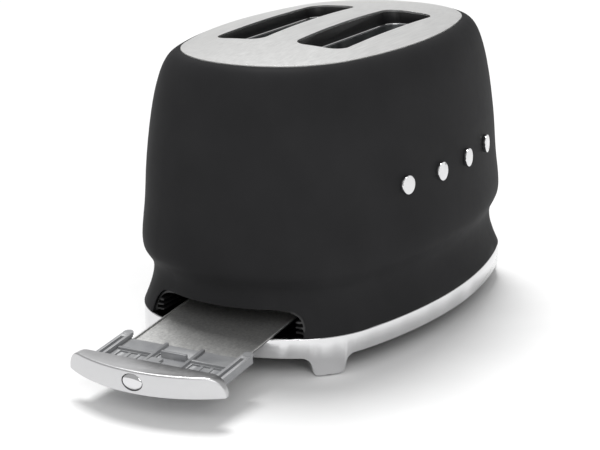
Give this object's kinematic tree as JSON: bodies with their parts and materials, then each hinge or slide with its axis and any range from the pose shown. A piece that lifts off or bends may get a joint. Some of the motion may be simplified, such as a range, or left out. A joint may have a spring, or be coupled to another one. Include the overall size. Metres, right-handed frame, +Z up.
{
  "type": "pop-up toaster",
  "caption": "Pop-up toaster with rounded black shell, satin top plate with long bread slots, chrome base band on legs and a crumb tray drawn out at one end.",
  "frame": {"origin": "on the table, under the centre of the box around the whole toaster with its crumb tray drawn out; the body's own middle is 39 mm towards +X", "axes": "+X towards the lever end, away from the crumb tray; +Z up; the studs are on the -Y side"},
  "size_m": [0.405, 0.195, 0.1973],
  "materials": {
    "body_paint": "matt black powder coat",
    "plate_steel": "satin pressed steel",
    "chrome": "bright plated",
    "black_plastic": "moulded",
    "grey_plastic": "moulded",
    "sheet_steel": "plain galvanised sheet",
    "tray_steel": "dull sheet",
    "mica": "mica board",
    "heating_ribbon": "resistance ribbon",
    "circuit_board": "glass-epoxy board",
    "winding": "enamelled copper",
    "rubber": "soft pad"
  },
  "bodies": {
    "housing": {"base_band": "chrome", "base_screws": "sheet_steel", "bottom_pan": "black_plastic", "browning_bezel": "chrome", "button_bezels": "chrome", "button_switches": "black_plastic", "chassis_plate_front": "sheet_steel", "chassis_plate_rear": "sheet_steel", "control_board": "circuit_board", "cord_inlet": "black_plastic", "foot_pads": "rubber", "guide_rods": "sheet_steel", "heat_shield_left": "sheet_steel", "heat_shield_right": "sheet_steel", "heater_board_centre": "mica", "heater_board_left": "mica", "heater_board_right": "mica", "heater_ribbon_centre": "heating_ribbon", "heater_ribbon_left": "heating_ribbon", "heater_ribbon_right": "heating_ribbon", "hold_magnet": "sheet_steel", "lever_slot_trim": "chrome", "lift_spring": "sheet_steel", "magnet_coil": "winding", "outer_shell": "body_paint", "potentiometer": "black_plastic", "rod_bracket_lower": "sheet_steel", "rod_bracket_upper": "sheet_steel", "side_studs": "chrome", "slot_collar_left": "black_plastic", "slot_collar_right": "black_plastic", "slot_liner_left": "sheet_steel", "slot_liner_right": "sheet_steel", "terminal_block": "black_plastic", "top_plate": "plate_steel", "tray_guide_left": "black_plastic", "tray_guide_right": "black_plastic", "tray_mouth_frame": "black_plastic", "upper_frame": "sheet_steel"},
    "carriage": {"carriage_block": "black_plastic", "catch_plate": "sheet_steel", "lever_arm": "sheet_steel", "lever_knob": "chrome", "lift_rack_left": "sheet_steel", "lift_rack_right": "sheet_steel"},
    "guide_left_outer": {"bread_guide_left_outer": "sheet_steel"},
    "guide_left_inner": {"bread_guide_left_inner": "sheet_steel"},
    "guide_right_outer": {"bread_guide_right_outer": "sheet_steel"},
    "guide_right_inner": {"bread_guide_right_inner": "sheet_steel"},
    "browning": {"browning_knob": "chrome", "pot_shaft": "sheet_steel"},
    "stop": {"stop_button": "chrome"},
    "reheat": {"reheat_button": "chrome"},
    "defrost": {"defrost_button": "chrome"},
    "bagel": {"bagel_button": "chrome"},
    "tray": {"crumb_tray": "tray_steel", "tray_carrier": "grey_plastic", "tray_fascia": "chrome"},
    "tray_release": {"tray_button": "chrome"},
    "latch": {"tray_latch": "grey_plastic"}
  },
  "joints": [
    {"name": "lever_slide", "type": "slide", "parent": "housing", "child": "carriage", "axis": [0, 0, -1], "range_m": [0, 0.07], "stiffness_N_per_m": 120, "springref_m": -0.06, "deforming": ["lift_spring"]},
    {"name": "guide_left_outer_slide", "type": "slide", "parent": "housing", "child": "guide_left_outer", "axis": [0, -1, 0], "range_m": [0, 0.0071]},
    {"name": "guide_left_inner_slide", "type": "slide", "parent": "housing", "child": "guide_left_inner", "axis": [0, 1, 0], "range_m": [0, 0.0071]},
    {"name": "guide_right_outer_slide", "type": "slide", "parent": "housing", "child": "guide_right_outer", "axis": [0, 1, 0], "range_m": [0, 0.0071]},
    {"name": "guide_right_inner_slide", "type": "slide", "parent": "housing", "child": "guide_right_inner", "axis": [0, -1, 0], "range_m": [0, 0.0071]},
    {"name": "browning_turn", "type": "hinge", "parent": "housing", "child": "browning", "pos_m": [0.1914, 0, 0.047], "axis": [1, 0, 0], "range_deg": [-150, 150]},
    {"name": "stop_press", "type": "slide", "parent": "housing", "child": "stop", "axis": [-1, 0, 0], "range_m": [0, 0.0025], "stiffness_N_per_m": 400, "springref_m": -0.003},
    {"name": "reheat_press", "type": "slide", "parent": "housing", "child": "reheat", "axis": [-1, 0, 0], "range_m": [0, 0.0025], "stiffness_N_per_m": 400, "springref_m": -0.003},
    {"name": "defrost_press", "type": "slide", "parent": "housing", "child": "defrost", "axis": [-1, 0, 0], "range_m": [0, 0.0025], "stiffness_N_per_m": 400, "springref_m": -0.003},
    {"name": "bagel_press", "type": "slide", "parent": "housing", "child": "bagel", "axis": [-1, 0, 0], "range_m": [0, 0.0025], "stiffness_N_per_m": 400, "springref_m": -0.003},
    {"name": "tray_slide", "type": "slide", "parent": "housing", "child": "tray", "axis": [-0.9945, 0, -0.1045], "range_m": [-0.0905, 0.13]},
    {"name": "tray_release_press", "type": "slide", "parent": "tray", "child": "tray_release", "axis": [1, 0, 0], "range_m": [0, 0.003], "stiffness_N_per_m": 300, "springref_m": -0.003},
    {"name": "latch_slide", "type": "slide", "parent": "tray", "child": "latch", "axis": [1, 0, 0], "range_m": [0, 0.0031]}
  ],
  "couplings": [
    {"joint": "guide_left_outer_slide", "follows": "lever_slide", "ratio": 0.1},
    {"joint": "guide_left_inner_slide", "follows": "lever_slide", "ratio": 0.1},
    {"joint": "guide_right_outer_slide", "follows": "lever_slide", "ratio": 0.1},
    {"joint": "guide_right_inner_slide", "follows": "lever_slide", "ratio": 0.1},
    {"joint": "latch_slide", "follows": "tray_release_press", "ratio": 1}
  ]
}
